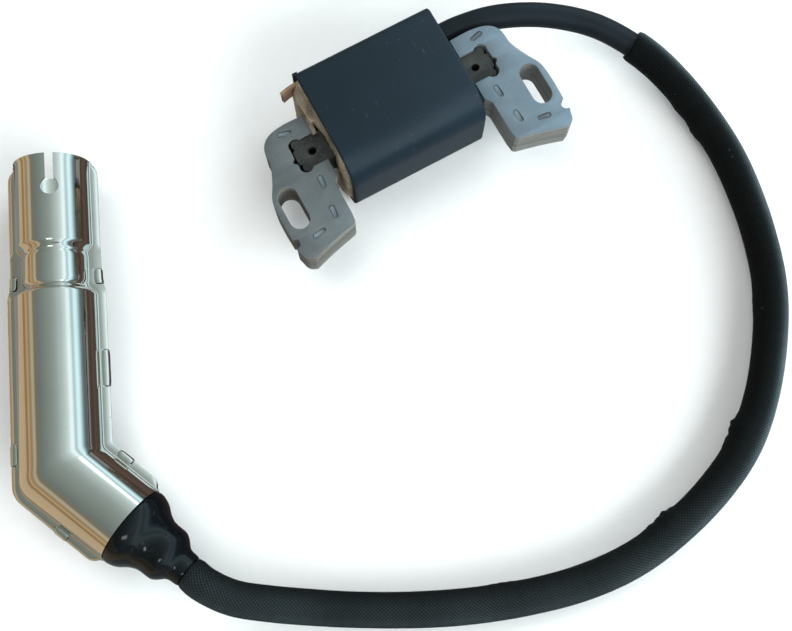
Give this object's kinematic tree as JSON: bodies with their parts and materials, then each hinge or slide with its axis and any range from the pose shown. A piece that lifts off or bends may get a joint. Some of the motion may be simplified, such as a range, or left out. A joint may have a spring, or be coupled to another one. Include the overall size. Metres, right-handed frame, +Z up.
{
  "type": "ignition coil",
  "caption": "Magneto ignition coil for a small engine: laminated core, potted coil case, and a sleeved high-tension lead to a metal-shielded rubber plug boot.",
  "frame": {"origin": "On the supporting surface, under the middle of the bounding box of the coil unit: the case and the core, without the lead, boot and shield.", "axes": "+X runs along the core's crossbar, from the kill terminal's end to the lead's end; +Y points away from the flywheel, from the pole faces to the back of the case; +Z is up, out of the legs' upper faces."},
  "size_m": [0.2281, 0.1845, 0.027],
  "materials": {
    "case_plastic": "satin, dark blue-grey moulding",
    "potting": "matte, cast resin",
    "leg_steel": "satin, thin sheets with grey edges",
    "bar_steel": "dull, darkened",
    "bobbin_plastic": "matte",
    "copper_wire": "enamelled copper",
    "board_laminate": "satin",
    "package_plastic": "matte",
    "resistor_body": "glossy",
    "terminal_metal": "tarnished, bright edge",
    "strap_metal": "satin, tinned",
    "contact_brass": "polished",
    "lead_rubber": "satin",
    "sleeve_fabric": "woven, slightly shiny",
    "boot_rubber": "glossy",
    "shield_metal": "bright plated sheet",
    "clip_spring": "bright spring steel"
  },
  "bodies": {
    "root": {"coil_case": "case_plastic", "potting_resin": "potting", "core_leg_left": "leg_steel", "core_leg_right": "leg_steel", "core_crossbar": "bar_steel", "primary_bobbin": "bobbin_plastic", "primary_winding": "copper_wire", "secondary_bobbin": "bobbin_plastic", "secondary_winding": "copper_wire", "circuit_board": "board_laminate", "power_transistor": "package_plastic", "control_transistor": "package_plastic", "bias_resistor": "resistor_body", "kill_terminal": "terminal_metal", "ground_strap": "strap_metal", "lead_spike": "contact_brass", "hv_lead_jacket": "lead_rubber", "hv_lead_conductor": "copper_wire", "braided_sleeve": "sleeve_fabric"},
    "boot": {"rubber_boot": "boot_rubber", "shield_upper_half": "shield_metal", "shield_lower_half": "shield_metal", "contact_rod": "contact_brass", "plug_clip": "clip_spring"}
  },
  "joints": [
    {"name": "boot_swivel", "type": "hinge", "parent": "root", "child": "boot", "pos_m": [-0.10982, -0.08238, 0.0114], "axis": [0.4067, -0.9135, 0], "range_deg": [-90, 90]}
  ]
}
